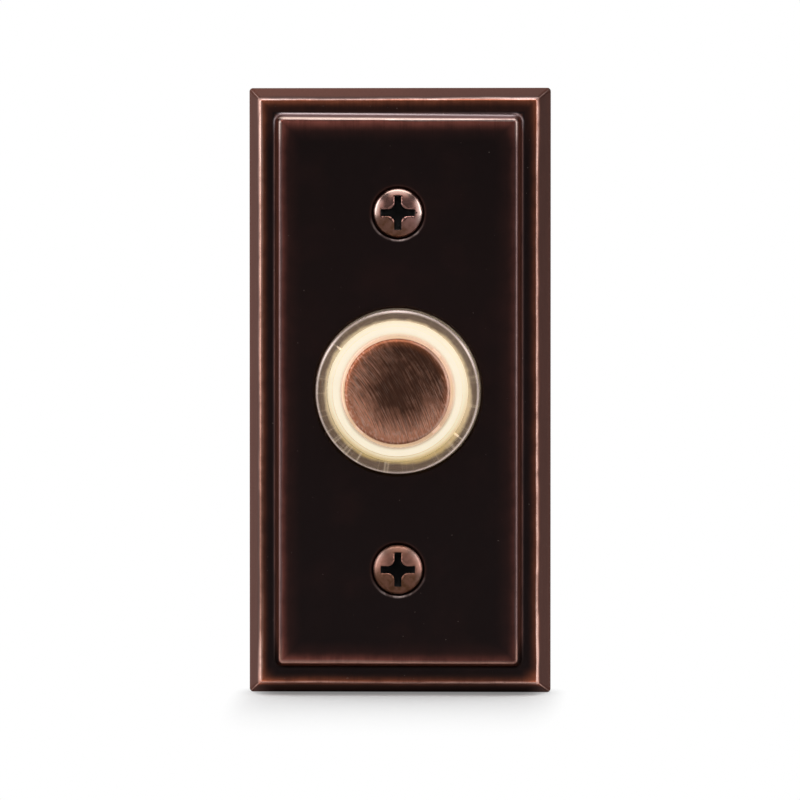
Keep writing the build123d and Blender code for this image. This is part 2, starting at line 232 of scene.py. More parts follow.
class PlatePlace:
    """Where a point lies on the plate: millimetres past its edges, and shares from nothing to one."""

    def __init__(self, at):
        self.at = at
        self.across, self.up, self.rise = place_of(at)
        self.from_edges(at)
        self.by_side()
        self.grain = at.noise(6.0, 2.0)
        self.streaks = at.stretched(5.0, 1.0, 0.22).noise(1.0, 3.0)
        self.patchy = (at.noise(0.55, 4.0) * 0.7 + self.streaks * 0.3).ramp(0.30, 0.62)

    def from_edges(self, at):
        """Distances from the flanks, the ledge, the panel with its foot, and the countersinks."""
        side = abs(self.across) - half_width
        end = abs(self.up) - half_height
        sway = (at.noise(0.2, 2.0) - 0.5) * rub_sway
        self.side, self.end = side, end
        self.past_ledge = (side + ledge_inset).highest(end + ledge_end_inset) + sway
        self.past_panel = side.highest(end) + panel_inset + sway
        self.past_end = end + panel_inset
        self.slant = self.past_end + self.across * top_slant
        past_round = [(gap + foot_inset + foot_corner).highest(0.0) for gap in (side, end)]
        self.past_foot = distance(*past_round) - foot_corner
        self.screw_up = (abs(self.up) - screw_spacing / 2) * self.up / abs(self.up)
        self.sink_out = distance(self.across, self.screw_up)

    def by_side(self):
        """Shares by height, by side and by how near a corner is."""
        down = 0 - self.up
        self.left = 1 - self.across.ramp(-left_reach, left_reach)
        self.top = self.up.ramp(panel_end - end_reach, panel_end)
        self.low = down.ramp(panel_end - end_reach, panel_end)
        self.inside = 1 - abs(self.across).ramp(panel_side - 0.8, foot_side)
        self.on_panel = self.rise.ramp(face_height - 0.6, face_height - 0.2)
        self.on_front = self.rise.ramp(front_low, front_high)
        self.on_side = (self.side - self.end).ramp(-mitre_blend, mitre_blend)
        self.low_flank = self.low * (1 - self.on_side)
        self.top_flank = self.top * (1 - self.on_side)
        self.near_end = abs(self.up).ramp(half_height - 16.0, half_height - 3.0) * self.on_side
        self.near_side = abs(self.across).ramp(half_width * 0.3, half_width - 2.0) * (1 - self.on_side)
        self.spared = self.left * down.ramp(4.0, 18.0) * (self.on_side - self.near_end)


def brown_rub_and_painted_light(p):
    """Warm brown, part rubbing and part painted light: inwards of the ledge's edge, on flanks and risers, in
    the countersinks.
    """
    # The ledge's brown is painted stronger at the left and top, and its corners' stronger below.
    fade = p.past_ledge.ramp(-ledge_rub, 0.1) * p.on_front * (1 - 0.25 * p.spared)
    cut_from = -0.15 - 0.2 * p.top_flank
    cut_to = 0.45 - 0.3 * p.left - 0.2 * p.top_flank + 0.55 * p.low_flank
    fade = fade * fade * (1 - p.past_ledge.ramp(cut_from, cut_to))
    top_ledge = p.past_panel.ramp(0.8, 1.1) * (1 - p.past_ledge.ramp(0.0, 0.3)) * p.top * 0.06
    corner = (p.side + ledge_inset).ramp(-corner_rub, 0.0) * (p.end + ledge_end_inset).ramp(-corner_rub, 0.0)
    corner = corner * (1 - p.past_ledge.ramp(0.0, 0.4)) * p.on_front * (0.15 + 0.4 * p.low)
    ledge = fade * (0.5 + 0.35 * p.left + 0.2 * p.top - 0.1 * p.low) + top_ledge + corner
    # Painted light: the flanks are browner at the left and along the top, where the lamps fall.
    flank = p.past_ledge.ramp(0.1, 0.5) * (0.035 + 0.045 * p.left + 0.03 * p.top_flank)
    flank = flank + p.past_ledge.ramp(1.0, 1.7) * 0.03
    # Painted light on the lower riser and on the side risers.
    low_riser = p.past_end.line(0.25, 0.45) * p.low * p.inside * p.on_front * 0.3
    side_riser = p.past_panel.line(0.35, 0.5) * (1 - p.inside) * (1 - p.low) * p.on_front * 0.3
    # A faint painted brown glow in the countersinks.
    sink = (1 - p.sink_out.ramp(countersink_radius - 0.1, countersink_radius + 0.3)) * 0.04
    rub = ledge * (0.6 + 0.4 * p.patchy)
    for other in (flank, low_riser, side_riser, sink):
        rub = rub.highest(other)
    return rub


def plum_rub_and_painted_glow(p):
    """Plum, part rubbing and part painted light: a glow inwards of the panel's edge, strongest along the top
    and at the left, and a faint cloud over its middle.
    """
    glow = p.past_panel.ramp(-panel_rub - 0.7 * p.top - 0.3 * p.low, 0.1)
    haze = p.past_panel.ramp(-panel_haze - 0.6 * p.top, 0.0)
    top_glow = (0.52 - 0.25 * p.left) * p.top * (1 - 0.7 * (p.side - p.end).ramp(-panel_rub, panel_rub))
    rub = glow * glow * (0.22 + 0.36 * p.left + top_glow + 0.12 * p.low)
    rub = (rub + haze * (0.05 + 0.02 * p.left + 0.04 * p.top)) * p.on_panel * (0.6 + 0.4 * p.patchy)
    rub = rub * (1 - (0.65 + 0.25 * p.top * p.left) * p.past_panel.ramp(-0.35, -0.05))
    # Painted light: a broad band over the middle of the panel is lifted a little, as by the lens's glow.
    middle = 1 - abs(p.up - 8.0).ramp(0.0, half_height * 0.8)
    return rub + middle * 0.008 + p.at.noise(0.14, 3.0).ramp(0.45, 0.75) * 0.012


def painted_pale_lines(p):
    """Painted highlights: a pale line round the foot of the panel's upper corners and faintly on its side
    risers.
    """
    foot = p.past_foot.line(0.0, 0.32) * p.up.ramp(foot_end - 3.0, foot_end) * 0.65
    riser = p.past_panel.line(0.5, 0.4) * (1 - p.low) * 0.12
    return foot.highest(riser) * (1 - p.inside)


def painted_upper_riser(p):
    """Painted highlight and shade on the panel's upper riser, as a dull film: its place, and its colour from
    foot to edge.
    """
    place = p.past_end.ramp(-0.05, 0.12) * (1 - p.slant.ramp(0.68, 0.82)) * p.top * p.inside * p.on_front
    colour = p.slant.line(0.63, 0.18).mix(painted_riser_shade, painted_riser_highlight)
    return place, p.slant.line(0.0, 0.24).mix(colour, painted_riser_edge_highlight)


def bare_edges_and_highlights(p):
    """Bare metal along the ledge's edge and the mitres of the flanks, set side by side as painted highlight,
    and a painted highlight on the countersinks' lower rims.
    """
    wear = 0.85 - 0.30 * p.left - 0.36 * p.top_flank + 0.25 * p.low
    wear = wear + p.up * (0.018 * p.left - 0.010) * p.on_side + p.near_end * (0.5 - 0.1 * p.left)
    wear = wear + 0.5 * p.near_side * (1 - p.left * (0.4 + 0.6 * p.low))
    middle = 0.05 * p.low + 0.06 * p.top - 0.03 - 0.08 * p.left
    ledge = p.past_ledge.line(middle, 0.24 + 0.22 * p.left * p.on_side)
    ledge = ledge * p.on_front * wear * (1 - 0.45 * p.spared)
    mitre = (1 - abs(p.side - p.end).ramp(0.01, 0.13)) * p.past_ledge.ramp(0.0, 0.3) * p.rise.ramp(0.3, 0.9)
    mitre = mitre * (0.5 + 0.3 * p.low) * (1 - 0.7 * p.past_ledge.ramp(0.5, 1.5))
    # Painted highlight: only the lower rim of each countersink.
    sink = p.sink_out.line(countersink_radius, 0.22) * (0 - p.screw_up).ramp(0.3, 3.4)
    sink = sink * (0.3 + 0.7 * p.at.noise(0.8, 2.0).ramp(0.42, 0.58)) * 0.6
    return ledge.highest(mitre).highest(sink) * (0.42 + 0.58 * p.patchy)


def panel_edge_wear_and_highlight(p):
    """The line along the panel's rounded edge, part wear and part painted highlight, softer at its lower
    left.
    """
    middle = (0.06 - 0.14 * p.left) * (1 - p.top_flank) - p.top_flank * p.across * top_slant
    line = p.past_panel.line(middle, 0.42 - 0.15 * p.top_flank) * p.on_panel
    line = line * (0.7 + 0.3 * p.patchy) * (0.92 - 0.22 * p.low)
    low_left = p.left * p.on_side * (0 - p.up).ramp(half_height - 14.0, half_height - 5.0)
    return line * (1 - 0.3 * low_left)


def bronze_finish():
    bronze, at = start_finish("oil_rubbed_bronze")
    p = PlatePlace(at)
    dull, riser = painted_upper_riser(p)
    bare = bare_edges_and_highlights(p)
    # Painted shade: a dark band at the foot of the panel's lower riser, and a dark ring round the lens hole.
    painted_foot_shade = p.past_foot.line(0.05, 0.35) * p.low * p.on_front * 0.75
    lens_joint_shade = distance(p.across, p.up).line(lens_hole_radius, 0.3)
    speck = at.noise(2.6, 0.0).ramp(0.82, 0.85) * p.grain.ramp(0.5, 0.6)
    # Painted highlight: the edge line is pale rose along the top, copper below and mauve at the sides.
    wear_and_painted_light = p.low.mix(p.top.mix(side_wear_and_sheen, top_wear_and_sheen), low_wear_and_sheen)
    # Painted highlight: the bare edges are paler along the top flank and on the panel.
    bright = p.top_flank.highest(p.on_panel).mix(bare_copper_and_highlight, painted_pale_highlight)

    colour = brown_rub_and_painted_light(p).mix(dark_bronze, rubbed_and_lit_brown)
    colour = plum_rub_and_painted_glow(p).mix(colour, plum_and_painted_glow)
    colour = painted_pale_lines(p).mix(colour, painted_pale_sheen)
    # Painted highlight and shade on the upper riser, where the metal is also made dull.
    colour = dull.mix(colour, riser)
    colour = (panel_edge_wear_and_highlight(p) * (1 - dull)).mix(colour, wear_and_painted_light)
    colour = bare.mix(colour, bright)
    colour = (speck * 0.2).mix(colour, pale_speck)
    colour = (lens_joint_shade * 0.6).highest(painted_foot_shade).mix(colour, painted_joint_shade)
    end_finish(bronze, {
        "Base Color": colour,
        "Metallic": 1.0 - 0.8 * dull,
        "Specular Tint": bronze_edge_tint,
        "Roughness": 0.33 + 0.10 * p.grain - 0.07 * bare + 0.06 * p.streaks + 0.2 * lens_joint_shade,
        "Normal": (p.grain * 0.5 + p.streaks * 0.5).relief(0.006),
    })
    return bronze


dress("face_plate", bronze_finish())


# Lens ring. A clear acrylic moulding that stands out of the plate round the button, with a lip
# under the panel that keeps it in. Its face has a fine step round the bore, and its outer wall
# carries a painted glow for light leaking up from the glow ring, and painted highlights on its rim.
lens_lip_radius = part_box("lens_ring")[1].x * per_metre
lens_air = 0.02
lens_low = -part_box("lens_ring")[1].y * per_metre + lens_air
lens_top = -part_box("lens_ring")[0].y * per_metre
lens_radius = 10.2
lens_inner = 8.83
lens_bore = 7.0
lens_seat = 10.2 + lens_air
lens_lip_top = 7.4
lens_shoulder = 0.5
lens_step_radius = 8.1
lens_step = 0.15
lens_edge = 0.06
round_steps = 8
lens_segments = 160
slot_turn = 143.5
slot_width = 0.30
slot_near = 8.6
slot_far = 9.43
slot_below = 0.5
slot_above = 0.01
key_line = 0.13
lit_from = 0.9
lit_full = 0.5
rim_flashes = 6.0
sharp_turn = 30.0
acrylic_ior = 1.49
unlit = (0.0, 0.0, 0.0, 1.0)
clear_white = (1.0, 0.985, 0.95, 1.0)
clear_warm = (0.97, 0.95, 0.90, 1.0)
clear_rosy = (0.95, 0.76, 0.68, 1.0)
painted_wall_haze = (0.018, 0.004, 0.002, 1.0)
painted_leak_glow = (0.50, 0.38, 0.22, 1.0)
painted_low_leak_glow = (0.36, 0.25, 0.085, 1.0)
painted_rim_highlight = (0.52, 0.42, 0.395, 1.0)
painted_rim_flash = (0.80, 0.65, 0.61, 1.0)
painted_spoke_glow = (0.52, 0.42, 0.31, 1.0)
weld = 1e-7


def quarter(radius, height, size, steps=round_steps):
    """A rounded outer corner, from the face inwards of it round to the wall below it."""
    turns = [0.5 * math.pi * n / steps for n in range(steps + 1)]
    return [(radius - size + size * math.sin(a), height - size + size * math.cos(a)) for a in turns]


def turned(outline, segments, closed):
    """A mesh turned about the button's axis from (radius, height off the wall) points in millimetres."""
    shell = bmesh.new()
    rings = []
    for radius, height in outline:
        turns = [2 * math.pi * n / segments for n in range(segments)]
        spots = [(radius * math.cos(a) * mm, -height * mm, radius * math.sin(a) * mm) for a in turns]
        rings.append([shell.verts.new(spot) for spot in spots])
    following = rings[1:] + rings[:1] if closed else rings[1:]
    for ring, other in zip(rings, following):
        for n in range(segments):
            shell.faces.new((ring[n - 1], ring[n], other[n], other[n - 1]))
    bmesh.ops.remove_doubles(shell, verts=shell.verts, dist=weld)
    bmesh.ops.recalc_face_normals(shell, faces=shell.faces)
    mesh = bpy.data.meshes.new("turned")
    shell.to_mesh(mesh)
    shell.free()
    return mesh


def smooth(mesh, sharpest):
    """Shade round faces smooth, and keep edges that turn by more than this many degrees."""
    mesh.shade_smooth()
    mesh.set_sharp_from_angle(angle=math.radians(sharpest))
    return mesh


def plain_mesh(obj):
    """The mesh that an object's modifiers make, with the object itself taken away."""
    graph = bpy.context.evaluated_depsgraph_get()
    mesh = bpy.data.meshes.new_from_object(obj.evaluated_get(graph))
    bpy.data.objects.remove(obj)
    return mesh


def holder(name, mesh):
    obj = bpy.data.objects.new(name, mesh)
    bpy.context.scene.collection.objects.link(obj)
    return obj


def eased(mesh, size, sharpest=sharp_turn):
    """The same mesh with its sharp edges rounded off by this many millimetres."""
    obj = holder("eased", mesh)
    bevel = obj.modifiers.new("edges", "BEVEL")
    bevel.width = size * mm
    bevel.segments = 3
    bevel.limit_method = "ANGLE"
    bevel.angle_limit = math.radians(sharpest)
    return smooth(plain_mesh(obj), sharpest)


def fit(name, mesh, material, body, slot, *nodes):
    """Put a finished mesh in its place: its material, its body, the solids it stands for. The slot is not
    used.
    """
    mesh.name = name
    mesh.materials.clear()
    mesh.materials.append(material)
    obj = holder(name, mesh)
    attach(obj, body)
    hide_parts(*nodes)
    return obj


def painted_wall_glow(at, across, up, out, haze):
    """Painted glow in the lens's wall, as emission: light leaking from the glow ring, lines at the keys and
    spokes, and a painted highlight round the rim that flashes on its upper part.
    """
    under = 0.5 - 0.5 * up / out
    beside = abs(across) / out
    low_right = ((0.77 * across - 0.64 * up) / out).ramp(0.6, 1.0)
    uneven = at.noise(0.7, 3.0) - 0.5
    leak = out - 0.15 * beside - 0.25 * low_right - 0.6 * uneven
    leak = 1 - leak.ramp(lens_inner - 0.15, lens_inner + 0.36)
    key_turn = math.radians(slot_turn)
    key = (across * math.sin(key_turn) - up * math.cos(key_turn)).line(0.0, key_line)
    bearing = across.maths("ARCTAN2", up, across)
    flash = 0.5 - 0.5 * bearing.maths("COSINE", bearing * rim_flashes)
    flash = flash * flash * (1 - under).ramp(0.4, 0.7)
    rim = out.line(lens_radius - 0.27 + 0.20 * under, 0.26 - 0.05 * under)
    rim = rim * (0.62 + 0.4 * flash + 0.28 * low_right + 0.6 * uneven + 0.3 * (haze - 0.5))
    spokes = at.node("ShaderNodeCombineXYZ", {}, {0: across / out, 1: up / out, 2: 0.0}).noise(26.0, 3.0)
    spokes = spokes.ramp(0.52, 0.70) * (0.16 + 0.38 * under)

    light = leak.mix(painted_wall_haze, under.ramp(0.55, 1.0).mix(painted_leak_glow, painted_low_leak_glow))
    light = (key * (0.45 + 0.3 * under)).mix(light, painted_spoke_glow)
    light = rim.mix(light, flash.mix(painted_rim_highlight, painted_rim_flash))
    return spokes.mix(light, painted_spoke_glow)


def clear_finish():
    clear, at = start_finish("clear_acrylic")
    across, up, rise = place_of(at)
    out = distance(across, up)
    flow = at.stretched(0.5, 1.2, 0.5).noise(1.0, 3.0)
    haze = at.noise(4.0, 2.0)
    # The painted glow and a rosy tint lie on the top face of the outer wall.
    wall = out.ramp(lens_inner - 0.15, lens_inner) * rise.ramp(lens_top - lit_from, lens_top - lit_full)
    end_finish(clear, {
        "Base Color": (wall * 0.7).mix(flow.mix(clear_warm, clear_white), clear_rosy),
        "Roughness": 0.03 + 0.05 * haze,
        "Transmission Weight": 1.0,
        "IOR": acrylic_ior,
        "Emission Color": wall.mix(unlit, painted_wall_glow(at, across, up, out, haze)),
        "Emission Strength": 1.0,
        "Normal": flow.relief(0.006),
    })
    return clear


def bar(near, far, width, low, high, turn):
    """A straight bar between two distances from the button's axis, turned about it by some degrees."""
    shell = bmesh.new()
    bmesh.ops.create_cube(shell, size=mm)
    swing = Matrix.Rotation(math.radians(-turn), 4, "Y")
    place = Matrix.Translation(((near + far) / 2 * mm, -(low + high) / 2 * mm, 0.0))
    size = Matrix.Diagonal((far - near, high - low, width, 1.0))
    bmesh.ops.transform(shell, matrix=swing @ place @ size, verts=shell.verts)
    mesh = bpy.data.meshes.new("bar")
    shell.to_mesh(mesh)
    shell.free()
    return mesh


def cut(mesh, tool):
    """The mesh with another closed shape cut out of it."""
    obj = holder("cut", mesh)
    blade = holder("blade", tool)
    notch = obj.modifiers.new("notch", "BOOLEAN")
    notch.operation = "DIFFERENCE"
    notch.solver = "EXACT"
    notch.object = blade
    result = plain_mesh(obj)
    bpy.data.objects.remove(blade)
    return smooth(result, sharp_turn)


lens_outline = [
    (lens_inner, lens_low),
    (lens_lip_radius, lens_low),
    (lens_lip_radius, lens_lip_top),
    (lens_radius, lens_lip_top),
    *reversed(quarter(lens_radius, lens_top, lens_shoulder)),
    (lens_step_radius, lens_top),
    (lens_step_radius, lens_top - lens_step),
    (lens_bore, lens_top - lens_step),
    (lens_bore, lens_seat),
    (lens_inner, lens_seat),
]
lens_mesh = eased(turned(lens_outline, lens_segments, True), lens_edge)
for turn in (slot_turn, slot_turn + 180.0):
    slot = bar(slot_near, slot_far, slot_width, lens_low - slot_below, lens_seat + slot_above, turn)
    lens_mesh = cut(lens_mesh, slot)
fit("clear_lens", lens_mesh, clear_finish(), "housing", "clear_lens", "lens_ring")


# Light diffuser. An opal moulded ring that drops over the four LEDs, with two small keys in slots of
# the lens. Its glow is painted emission, even, a little warmer and dimmer towards its foot, its bore, its
# outer edge and its lower side.
glow_cream = (0.925, 0.85, 0.70, 1.0)
glow_warm = (0.74, 0.58, 0.33, 1.0)
glow_olive = (0.50, 0.36, 0.14, 1.0)
key_dim = (0.36, 0.30, 0.235, 1.0)
glow_pink = (0.76, 0.53, 0.41, 1.0)
glow_brown = (0.44, 0.31, 0.21, 1.0)
opal_white = (0.36, 0.34, 0.29, 1.0)
opal_pale = (0.42, 0.40, 0.35, 1.0)
diffuser_top = -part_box("light_diffuser")[0].y * per_metre
diffuser_low = -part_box("light_diffuser")[1].y * per_metre
diffuser_radius = 8.78


def opal_finish():
    opal, at = start_finish("opal_glow")
    across, up, rise = place_of(at)
    out = distance(across, up)
    under = 1 - up.ramp(-diffuser_radius, diffuser_radius)
    foot = 1 - rise.ramp(diffuser_low, diffuser_top)
    edge = out.ramp(diffuser_radius - 0.6, diffuser_radius) * (0.45 - 0.3 * under)
    low_edge = out.ramp(diffuser_radius - 0.8, diffuser_radius) * under * under
    warm = foot.highest(edge) + 0.10 * under
    cloud = at.noise(1.2, 2.0)
    # Painted shade: a warmer, dimmer line where the lens's step lies over the ring.
    ring_line = out.line(lens_step_radius + 0.1, 0.14) * 0.22
    inner = 1 - out.ramp(lens_bore, lens_bore + 0.5)
    key = out.ramp(diffuser_radius, diffuser_radius + 0.3)
    glow = (warm * (0.8 + 0.2 * cloud) + ring_line).mix(glow_cream, glow_warm)
    glow = inner.mix(glow, under.ramp(0.5, 0.85).mix(glow_pink, glow_brown))
    glow = low_edge.mix(glow, glow_olive)
    end_finish(opal, {
        "Base Color": cloud.mix(opal_white, opal_pale),
        "Roughness": 0.42 + 0.12 * cloud,
        "Emission Color": key.mix(glow, key_dim),
        "Emission Strength": 1.0,
    })
    return opal


dress("light_diffuser", opal_finish())


# Circuit board. A round glass-fibre board with a hole for the plunger and two ring tracks under a
# white solder mask, which throws the LEDs' light forward. The base clamps it under the lens.
mask_white = (0.55, 0.52, 0.46, 1.0)
track_white = (0.46, 0.43, 0.36, 1.0)
glass_fibre = (0.55, 0.50, 0.30, 1.0)
track_radii = (9.6, 10.6)
track_width = 0.32
board_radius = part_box("led_board")[1].x * per_metre


def board_finish():
    board, at = start_finish("solder_mask")
    out = distance(at.axis(0), at.axis(2))
    weave = at.noise(3.5, 2.0)
    inner, outer = [out.line(radius, track_width) for radius in track_radii]
    track = inner.highest(outer).ramp(0.3, 0.6)
    cut_edge = out.ramp(board_radius - 0.02, board_radius - 0.01)
    colour = (track * (0.6 + 0.4 * weave)).mix(mask_white, track_white)
    end_finish(board, {
        "Base Color": cut_edge.mix(colour, glass_fibre),
        "Roughness": 0.28 + 0.22 * weave,
        "Normal": (track + weave * 0.4).relief(0.03),
    })
    return board


dress("led_board", board_finish())


# LEDs. Four small chips spaced round the board's hole, each a white case with a yellow window that
# lights the diffuser.
case_white = (0.82, 0.81, 0.77, 1.0)
phosphor = (0.92, 0.66, 0.14, 1.0)
led_light = (1.0, 0.86, 0.55, 1.0)
led_count = 4
led_top = -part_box("led_1")[0].y * per_metre
window_low = led_top - 0.12
window_high = led_top - 0.06


def led_finish():
    led, at = start_finish("lit_chip")
    rise = 0 - at.axis(1)
    window = rise.ramp(window_low, window_high)
    speckle = at.noise(14.0, 2.0)
    end_finish(led, {
        "Base Color": window.mix(case_white, phosphor),
        "Roughness": 0.35 + 0.2 * speckle,
        "Emission Color": window.mix(unlit, led_light),
        "Emission Strength": 1.0,
        "Normal": speckle.relief(0.01),
    })
    return led


lit_chip = led_finish()
for number in range(1, led_count + 1):
    dress(f"led_{number}", lit_chip)


# Resistor and diode. Two chips under the board that feed the LEDs from the bell's low voltage:
# black bodies with tinned ends and leads.
chip_black = (0.018, 0.018, 0.020, 1.0)
tin = (0.62, 0.62, 0.60, 1.0)
resistor_body = 1.1
diode_body = 1.36
tin_blend = 0.02


def chip_finish(name, half_length):
    chip, at = start_finish(name)
    end = abs(at.axis(0)).ramp(half_length - tin_blend, half_length + tin_blend)
    speckle = at.noise(9.0, 3.0)
    end_finish(chip, {
        "Base Color": end.mix(chip_black, tin),
        "Metallic": end,
        "Roughness": 0.5 + 0.2 * speckle - 0.2 * end,
        "Normal": speckle.relief(0.012),
    })
    return chip


dress("series_resistor", chip_finish("resistor_ends", resistor_body))
dress("rectifier_diode", chip_finish("diode_leads", diode_body))


# Button cap. A spun copper cup with a shallow dome and a rolled edge, darkened and then brushed by
# one sweep of an abrasive wheel, so its scratches are arcs about a point well below and left of it.
cap_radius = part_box("button_cap")[1].x * per_metre
cap_top = -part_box("button_cap")[0].y * per_metre
cap_low = -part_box("button_cap")[1].y * per_metre
cap_dome = 0.35
cap_round = 0.55
cap_wall = 0.53
cap_under = 12.0
cap_edge = 0.05
cap_sharpest = 40.0
cap_segments = 160
dome_steps = 14
sweep_x = -22.4
sweep_z = -12.4
stroke_scale = 5.0
dark_copper = (0.128, 0.057, 0.037, 1.0)
bright_copper = (0.96, 0.43, 0.275, 1.0)
edge_copper = (0.56, 0.17, 0.070, 1.0)
fleck_copper = (1.0, 0.50, 0.34, 1.0)
scratch_and_sheen_copper = (1.0, 0.70, 0.57, 1.0)


def cap_outline():
    """From the middle of the dome over the rolled edge, down the skirt and up inside to the middle."""
    ball = (cap_radius**2 + cap_dome**2) / (2 * cap_dome)
    flat = cap_radius - cap_round
    lean = math.asin(flat / ball)
    dome = [ball * math.sin(lean * n / dome_steps) for n in range(dome_steps + 1)]
    crown = [(r, cap_top - ball + math.sqrt(ball**2 - r**2)) for r in dome]
    edge_height = crown[-1][1]
    turns = [0.5 * math.pi * n / round_steps for n in range(1, round_steps + 1)]
    roll = [
        (flat + cap_round * math.sin(a), edge_height - cap_round * (1 - math.cos(a))) for a in turns
    ]
    inside = cap_radius - cap_wall
    return crown + roll + [(cap_radius, cap_low), (inside, cap_low), (inside, cap_under), (0.0, cap_under)]


def brushing(at, across, up):
    """Marks along the sweep: broad strokes, hair lines, single scratches and short flecks."""
    swing = distance(across - sweep_x, up - sweep_z)
    bearing = across.maths("ARCTAN2", up - sweep_z, across - sweep_x)
    stroke = at.node("ShaderNodeCombineXYZ", {}, {0: swing, 1: bearing * stroke_scale, 2: 0.0})
    broad = stroke.stretched(6.0, 1.3, 1.0).noise(1.0, 5.0)
    hair = stroke.stretched(17.0, 2.6, 1.0).noise(1.0, 4.0)
    scratch = stroke.stretched(12.0, 2.0, 1.0).noise(1.0, 1.0).ramp(0.58, 0.68)
    fleck = stroke.stretched(4.0, 8.0, 1.0).noise(1.0, 2.0).ramp(0.50, 0.64)
    return broad, hair, scratch, fleck


def copper_finish():
    copper, at = start_finish("brushed_copper")
    across, up, rise = place_of(at)
    out = distance(across, up)
    broad, hair, scratch, fleck = brushing(at, across, up)
    cloud = at.noise(0.3, 2.0)
    blotch = at.noise(1.1, 4.0) - 0.5
    # Painted light: the cap is darker at its middle and upper right and lighter towards the lower left; the
    # rub, the edge's wear and its flecks follow this.
    shade = ((0.7 * across + 1.1 * up) / out).ramp(0.3, 1.3)
    edge = (out + 0.35 * cloud).ramp(cap_radius - 1.1, cap_radius - 0.2)
    edge = edge * rise.ramp(cap_top - 1.6, cap_top - 0.9) * (0.85 + up * 0.05 - across * 0.03)
    edge = edge * (1 - 0.4 * shade) * (1 + 1.4 * blotch)
    rub_and_painted_light = out.ramp(1.4, cap_radius - 0.2) * (0.64 - across * 0.05 - up * 0.07 - 0.22 * shade)
    rub_and_painted_light = (rub_and_painted_light + 0.5 * blotch * out.ramp(0.0, 3.0)).highest(0.0)
    streak = (broad * 0.55 + hair * 0.30 + cloud * 0.15).ramp(0.38, 0.62)
    shine = (rub_and_painted_light + (streak - 0.5) * (0.20 + 0.85 * rub_and_painted_light)).highest(0.0)
    bright = (scratch * (0.08 + 0.5 * rub_and_painted_light)).highest(fleck * rub_and_painted_light * out.ramp(3.0, 5.5) * 0.35)
    # Painted shade on the lower and upper left of the rolled edge, and a painted highlight on its right.
    roll = out.ramp(cap_radius - 0.45, cap_radius - 0.15)
    painted_low_shade = (0 - up / out).ramp(0.3, 0.9) * 0.45
    painted_upper_left_shade = ((up - across) / out).ramp(0.3, 1.4) * 0.25
    painted_right_highlight = (across / out).ramp(0.1, 0.9) * 0.5

    colour = shine.mix(dark_copper, bright_copper)
    colour = (edge * (0.6 + 0.4 * fleck)).mix(colour, edge_copper)
    colour = (edge * fleck * 0.6 * (1 - shade)).mix(colour, fleck_copper)
    colour = (roll * painted_low_shade.highest(painted_upper_left_shade)).mix(colour, dark_copper)
    colour = (roll * painted_right_highlight).mix(colour, scratch_and_sheen_copper)
    end_finish(copper, {
        "Base Color": bright.mix(colour, scratch_and_sheen_copper),
        "Metallic": 1.0,
        "Roughness": 0.40 - 0.12 * hair + 0.10 * broad + 0.12 * edge,
        "Normal": (broad * 0.5 + hair * 0.5 + scratch * 0.6).relief(0.012),
    })
    return copper


cap_mesh = eased(turned(cap_outline(), cap_segments, False), cap_edge, cap_sharpest)
fit("brushed_cap", cap_mesh, copper_finish(), "button", "copper", "button_cap")


# Plunger. A white acetal carrier that presses into the cap, slides in the lens bore on four ribs
# and is kept in by its flange under the board. The LEDs' light soaking into it is painted as a glow,
# most of all on the ribs' ends in the gap round the cap.
acetal_white = (0.80, 0.79, 0.75, 1.0)
acetal_shade = (0.72, 0.71, 0.66, 1.0)
painted_acetal_glow = (0.16, 0.095, 0.07, 1.0)
painted_rib_glow = (0.55, 0.36, 0.27, 1.0)
lit_height = 7.0
soak_near = 0.8
soak_far = 4.0
rib_low = cap_low - 0.6
rib_high = cap_low - 0.1


def acetal_finish():
    acetal, at = start_finish("white_acetal")
    flow = at.stretched(0.4, 1.5, 0.4).noise(1.0, 3.0)
    grain = at.noise(8.0, 2.0)
    rise = 0 - at.axis(1)
    soaked = 1 - abs(rise - lit_height).ramp(soak_near, soak_far)
    glow = soaked.mix(unlit, painted_acetal_glow)
    end_finish(acetal, {
        "Base Color": flow.mix(acetal_shade, acetal_white),
        "Roughness": 0.34 + 0.14 * grain,
        "Emission Color": rise.ramp(rib_low, rib_high).mix(glow, painted_rib_glow),
        "Emission Strength": 1.0,
        "Normal": grain.relief(0.006),
    })
    return acetal


dress("plunger", acetal_finish())


# Contact washer and fixed contacts. Blanked brass strip: the washer is staked on the plunger's
# lower end and bridges the two rivets when the button is pressed in.
brass_yellow = (0.78, 0.52, 0.22, 1.0)
brass_dull = (0.52, 0.33, 0.13, 1.0)


def brass_finish():
    brass, at = start_finish("rolled_brass")
    rolled = at.stretched(0.5, 4.0, 6.0).noise(1.0, 3.0)
    tarnish = at.noise(0.5, 4.0).ramp(0.35, 0.75)
    end_finish(brass, {
        "Base Color": (tarnish * 0.6 + rolled * 0.25).mix(brass_yellow, brass_dull),
        "Metallic": 1.0,
        "Roughness": 0.26 + 0.18 * rolled + 0.12 * tarnish,
        "Normal": rolled.relief(0.005),
    })
    return brass


rolled_brass = brass_finish()
for node in ("contact_washer", "fixed_contact_left", "fixed_contact_right"):
    dress(node, rolled_brass)


# Return spring. Music wire wound in an open coil, standing on the base's post inside the plunger.
# It shortens by the button's travel when pressed.
spring_radius = 2.3
spring_wire = 0.45
spring_turns = 5.5
wire_sides = 14
spring_points = 240
spring_low = -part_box("return_spring")[1].y * per_metre
spring_high = -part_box("return_spring")[0].y * per_metre
spring_steel = (0.42, 0.42, 0.43, 1.0)
spring_blue = (0.25, 0.24, 0.25, 1.0)


